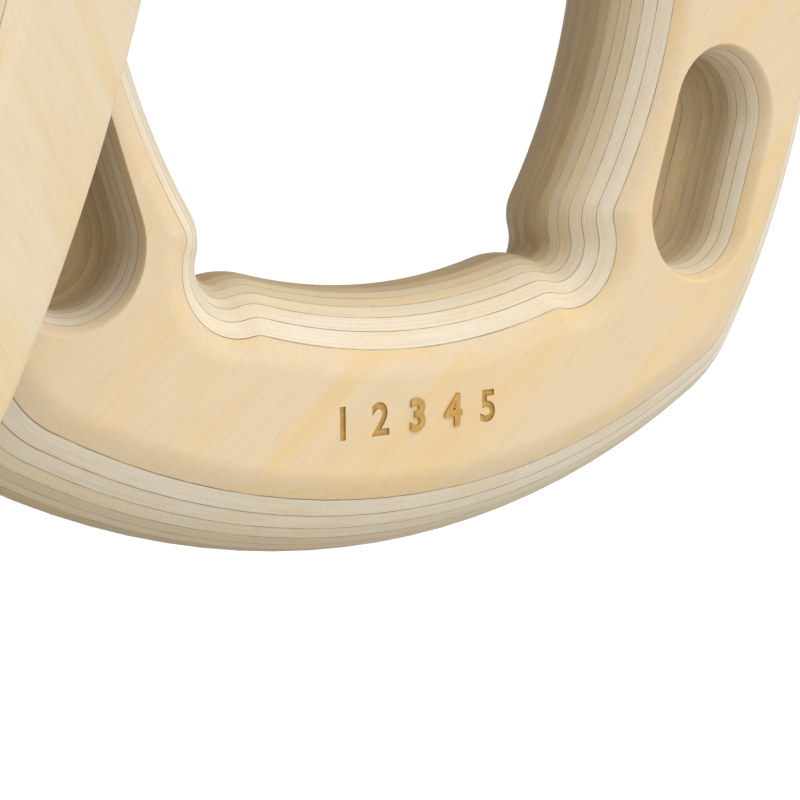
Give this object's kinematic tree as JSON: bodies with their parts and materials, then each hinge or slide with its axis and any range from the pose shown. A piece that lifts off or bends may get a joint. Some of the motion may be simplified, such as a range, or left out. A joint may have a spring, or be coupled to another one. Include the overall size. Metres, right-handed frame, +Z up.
{
  "type": "portable hangboard",
  "caption": "Pair of five-sided laminated plywood grip rings with bowed finger edges, corner ears for a cord and oblong finger pockets.",
  "frame": {"origin": "cord seat of ring A: the top of its opening, in the top ear, halfway through the board", "axes": "+Z up along ring A's hanging line, -Y out of ring A's front face, +X to the right seen from the front"},
  "size_m": [0.3826, 0.1899, 0.2266],
  "materials": {
    "face_veneer": "satin",
    "long_grain_ply": "satin",
    "cross_grain_ply": "satin",
    "glue_line": "matte"
  },
  "bodies": {
    "ring_a": {"ring_a_ply_01": "face_veneer", "ring_a_ply_02": "cross_grain_ply", "ring_a_ply_03": "long_grain_ply", "ring_a_ply_04": "cross_grain_ply", "ring_a_ply_05": "long_grain_ply", "ring_a_ply_06": "cross_grain_ply", "ring_a_ply_07": "long_grain_ply", "ring_a_ply_08": "cross_grain_ply", "ring_a_ply_09": "long_grain_ply", "ring_a_ply_10": "cross_grain_ply", "ring_a_ply_11": "long_grain_ply", "ring_a_ply_12": "cross_grain_ply", "ring_a_ply_13": "long_grain_ply", "ring_a_ply_14": "cross_grain_ply", "ring_a_ply_15": "long_grain_ply", "ring_a_ply_16": "cross_grain_ply", "ring_a_ply_17": "face_veneer"},
    "ring_b": {"ring_b_ply_01": "face_veneer", "ring_b_ply_02": "cross_grain_ply", "ring_b_ply_03": "long_grain_ply", "ring_b_ply_04": "cross_grain_ply", "ring_b_ply_05": "long_grain_ply", "ring_b_ply_06": "cross_grain_ply", "ring_b_ply_07": "long_grain_ply", "ring_b_ply_08": "cross_grain_ply", "ring_b_ply_09": "long_grain_ply", "ring_b_ply_10": "cross_grain_ply", "ring_b_ply_11": "long_grain_ply", "ring_b_ply_12": "cross_grain_ply", "ring_b_ply_13": "long_grain_ply", "ring_b_ply_14": "cross_grain_ply", "ring_b_ply_15": "long_grain_ply", "ring_b_ply_16": "cross_grain_ply", "ring_b_ply_17": "face_veneer"}
  },
  "joints": [
    {"name": "ring_b_swivel", "type": "hinge", "parent": "ring_a", "child": "ring_b", "pos_m": [-0.1668, -0.094, -0.0673], "axis": [0, 0, 1], "range_deg": [-120, 0]}
  ]
}
